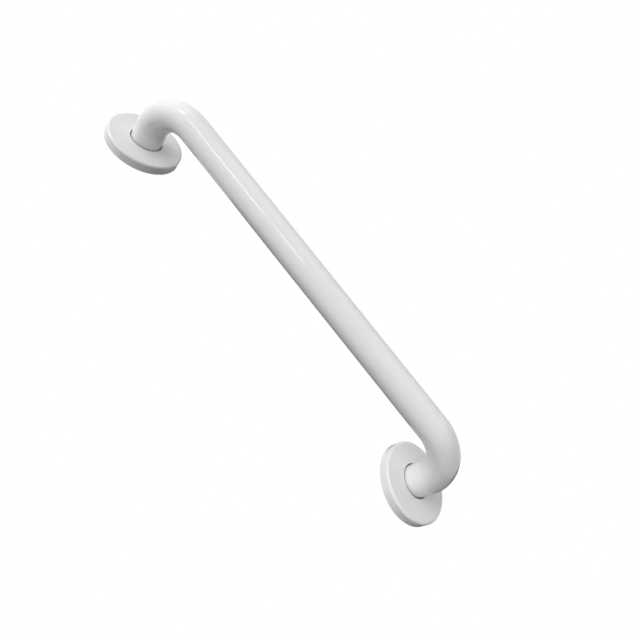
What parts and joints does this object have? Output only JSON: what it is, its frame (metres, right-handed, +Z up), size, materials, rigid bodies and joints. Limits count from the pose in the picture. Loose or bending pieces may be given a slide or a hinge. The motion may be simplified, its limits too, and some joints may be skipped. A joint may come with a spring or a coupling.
{
  "type": "grab bar",
  "caption": "Straight white wall grab bar: a bent tube with a round screw flange on each end and a sliding push-fit cover over each flange.",
  "frame": {"origin": "on the wall plane, half way between the two flange centres", "axes": "+X along the bar to the right flange as seen from the room, +Y into the wall, +Z up"},
  "size_m": [0.5362, 0.0868, 0.079],
  "materials": {
    "bar_coating": "glossy white powder coat on steel",
    "cover_plastic": "glossy white moulded plastic"
  },
  "bodies": {
    "bar": {"bar_tube": "bar_coating", "left_flange_plate": "bar_coating", "right_flange_plate": "bar_coating", "left_weld_bead": "bar_coating", "right_weld_bead": "bar_coating"},
    "left_cover": {"left_flange_cover": "cover_plastic"},
    "right_cover": {"right_flange_cover": "cover_plastic"}
  },
  "joints": [
    {"name": "left_cover_slide", "type": "slide", "parent": "bar", "child": "left_cover", "axis": [0, -1, 0], "range_m": [0, 0.02]},
    {"name": "right_cover_slide", "type": "slide", "parent": "bar", "child": "right_cover", "axis": [0, -1, 0], "range_m": [0, 0.02]}
  ]
}
